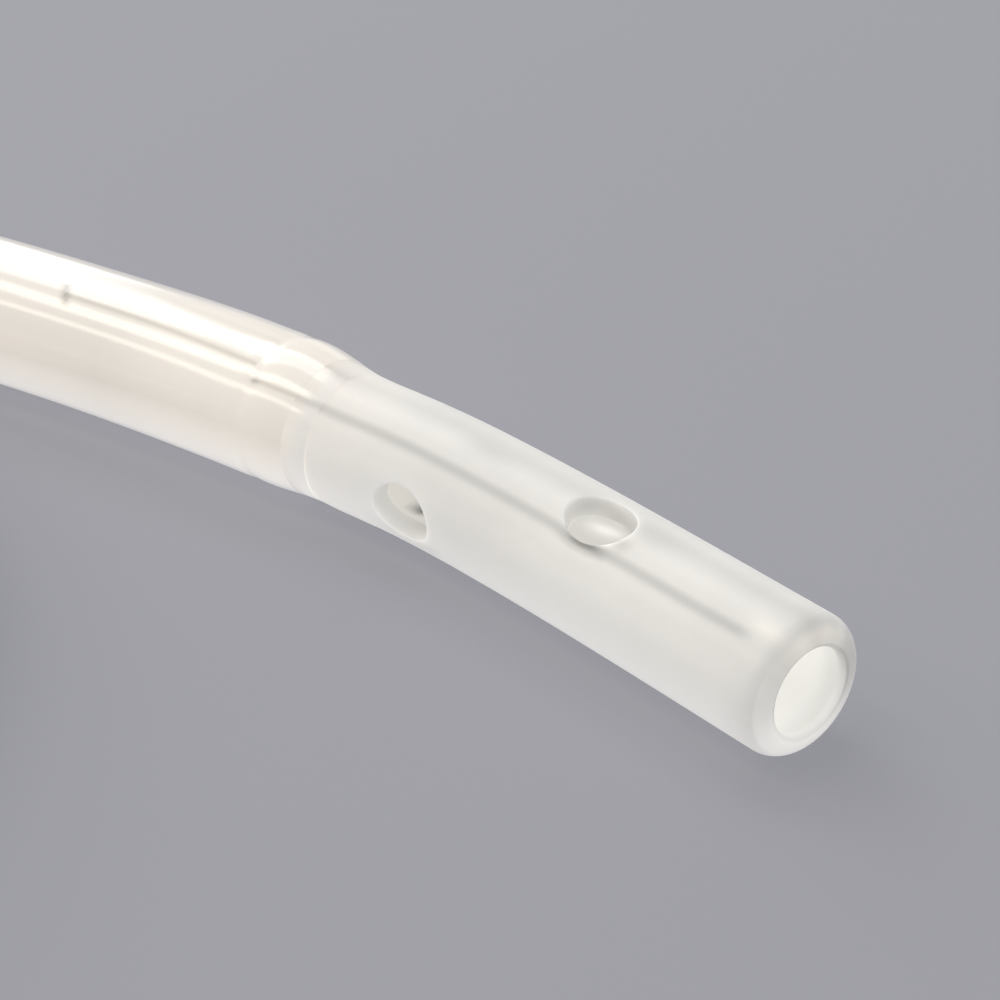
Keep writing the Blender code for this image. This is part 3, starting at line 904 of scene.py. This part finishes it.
def make_glue(name, thick_end, thin_end):
    """From the cuff's edge down into the shaft."""
    skin = Skin()
    angles = np.arange(SLEEVE_SIDES) * 2 * math.pi / SLEEVE_SIDES
    full = BALLOON_RADIUS - SHAFT_RADIUS
    stations = np.linspace(thick_end, thin_end, GLUE_STEPS + 1)
    rings = [skin.ring(s, SHAFT_RADIUS + full * proud(s) - FILM / 2, angles) for s in stations]
    rings += [skin.ring(s, SHAFT_RADIUS - FILM, angles) for s in stations[::-INNER_STRIDE]]
    for first, second in zip(rings, rings[1:] + rings[:1]):
        if thin_end < thick_end:
            skin.bridge(first, second)
        else:
            skin.bridge(second, first)
    return skin.build(name, glue_finish)


front_glue = make_glue("front_glue", BALLOON_START, BALLOON_START + SHOULDER_START)
back_glue = make_glue("back_glue", BALLOON_END, BALLOON_END - SHOULDER_START)

# %% [markdown]
# ## Funnel and luer port
#
# The funnel keeps the solid model's own form, and only gets its finish here. The luer port is
# a clear rigid plastic, harder and glossier than the silicone round it. Real clear plastic
# would need glass and many samples. A pale blue-grey gloss with a clear coat and a little
# light of its own looks the same from a step away.

# %% Funnel and luer port
PLASTIC = (0.62, 0.65, 0.67)
PLASTIC_DEEP = (0.56, 0.60, 0.62)
PLASTIC_GLOW = (0.10, 0.107, 0.112)
PLASTIC_CLOUD_SCALE = 200.0
PLASTIC_CLOUD_RISE = (0.3, 0.8)
plastic_finish, plastic_wire, plastic_shader = finish(
    "port_plastic", roughness=0.14, ior=1.49, coat_weight=0.6, coat_roughness=0.05,
    emission_color=(*PLASTIC_GLOW, 1), emission_strength=1.0)
plastic_cloud = noise(plastic_wire, PLASTIC_CLOUD_SCALE).step(*PLASTIC_CLOUD_RISE)
feed(plastic_shader, "Base Color", plastic_cloud.tint(PLASTIC, PLASTIC_DEEP))
for node, material in (("funnel", funnel_finish), ("luer_port", plastic_finish)):
    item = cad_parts[node]
    item.data.materials.clear()
    item.data.materials.append(material)
    print(node, "has the finish", material.name)

# %% [markdown]
# ## Ties to the solid model
#
# Each new skin rides on the model's one body and stands for the plain solid that it replaces.
# The points of the line that the shaft follows are also listed, one every four millimetres.

# %% Ties to the solid model
PATH_SPACING = 0.004
ties = (
    (shaft, "shaft", "silicone_shaft"),
    (balloon, "balloon", "silicone_balloon"),
    (front_glue, "distal_bond", "silicone_adhesive"),
    (back_glue, "proximal_bond", "silicone_adhesive"))
for piece, node, slot in ties:
    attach(piece, "root")
    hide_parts(node)

path = on_line(np.append(np.arange(0, SHAFT_LENGTH, PATH_SPACING), SHAFT_LENGTH))[0].tolist()
print("the tube follows", len(path), "points")

# %% [markdown]
# ## Table and light
#
# The table is a plain pale grey. It gives off a little light of its own, as paper does that
# lies on a light box, which keeps the shadow under the tube soft.

# %% Table
TABLE_HALF = 3.0
TABLE_DROP = -0.0001
TABLE_GREY = (0.236, 0.239, 0.268, 1)
TABLE_GLOW = (0.145, 0.146, 0.157, 1)

table_mesh = bpy.data.meshes.new("table")
corner_signs = ((-1, -1), (1, -1), (1, 1), (-1, 1))
corners = [(x * TABLE_HALF, y * TABLE_HALF, TABLE_DROP) for x, y in corner_signs]
table_mesh.from_pydata(corners, [], [(0, 1, 2, 3)])
table = bpy.data.objects.new("table", table_mesh)
bpy.context.scene.collection.objects.link(table)
table_finish = finish(
    "table_paint", base_color=TABLE_GREY, roughness=0.9, specular_ior_level=0.1,
    emission_color=TABLE_GLOW, emission_strength=1.0)
table_mesh.materials.append(table_finish[0])
print("table grey", TABLE_GREY[:3], "and its glow", TABLE_GLOW[:3])

# %% [markdown]
# A glossy tube draws each lamp as one long streak, and the photograph shows four of them along
# the balloon. So each lamp is placed by its reflection: we say from which angle to which its
# streak covers the tube, and the mirror rule gives the lamp's direction and height. Two
# softboxes make the wide white streak, two warm strips make the narrow ones, and an even pale
# sky fills the rest.

# %% Lamps
LAMP_DISTANCE = 1.0
STRIP_WARM = (1.0, 0.92, 0.80)
THIN_STRIP_WARM = (1.0, 0.93, 0.83)
SKY_WHITE = (1.0, 1.0, 1.0, 1)
SKY_STRENGTH = 0.54
balloon_middle, balloon_heading = on_line(NOTCH)
along = Vector((math.cos(balloon_heading), math.sin(balloon_heading), 0))
front = Vector((math.sin(balloon_heading), -math.cos(balloon_heading), 0))
to_camera = (camera.location - Vector(balloon_middle)).normalized()
camera_turn = math.atan2(to_camera.z, to_camera.dot(front))


def mirror_lamp(name, turns, length, radiance, colour=(1, 1, 1), shift=0.0):
    """A lamp whose reflection covers the tube between two angles in degrees."""
    first, last = (2 * math.radians(t) - camera_turn for t in turns)
    middle = (first + last) / 2
    back = -to_camera.dot(along)
    outward = front * math.cos(middle) + Vector((0, 0, math.sin(middle)))
    direction = along * back + outward * math.sqrt(1 - back * back)
    wide = (along - direction * along.dot(direction)).normalized()
    tall = direction.cross(wide)
    data = bpy.data.lights.new(name, "AREA")
    data.shape = "RECTANGLE"
    data.size = length
    data.size_y = 2 * LAMP_DISTANCE * math.tan((last - first) / 2) * math.sqrt(1 - back * back)
    data.energy = radiance * math.pi * data.size * data.size_y
    data.color = colour
    item = bpy.data.objects.new(name, data)
    item.location = Vector(balloon_middle) + direction * LAMP_DISTANCE + wide * shift
    item.rotation_euler = Matrix((wide, tall, direction)).transposed().to_euler()
    bpy.context.scene.collection.objects.link(item)
    print(name, "at", [round(v, 2) for v in item.location], "height", round(data.size_y, 2))


mirror_lamp("softbox", turns=(65.5, 83), length=1.4, radiance=1.5)
mirror_lamp("softbox_top", turns=(83, 103), length=0.7, radiance=1.5, shift=-0.35)
mirror_lamp("warm_strip", turns=(50, 56.5), length=1.4, radiance=2.3, colour=STRIP_WARM)
mirror_lamp("thin_strip", turns=(37.5, 41.5), length=1.4, radiance=1.8, colour=THIN_STRIP_WARM)
world = bpy.data.worlds.new("sky")
world.use_nodes = True
background = world.node_tree.nodes["Background"]
background.inputs["Color"].default_value = SKY_WHITE
background.inputs["Strength"].default_value = SKY_STRENGTH
bpy.context.scene.world = world
bpy.context.scene.view_settings.view_transform = "Standard"

# %% [markdown]
# ## Sizes, and the end
#
# The finished skins must fill the same box as the solid model.
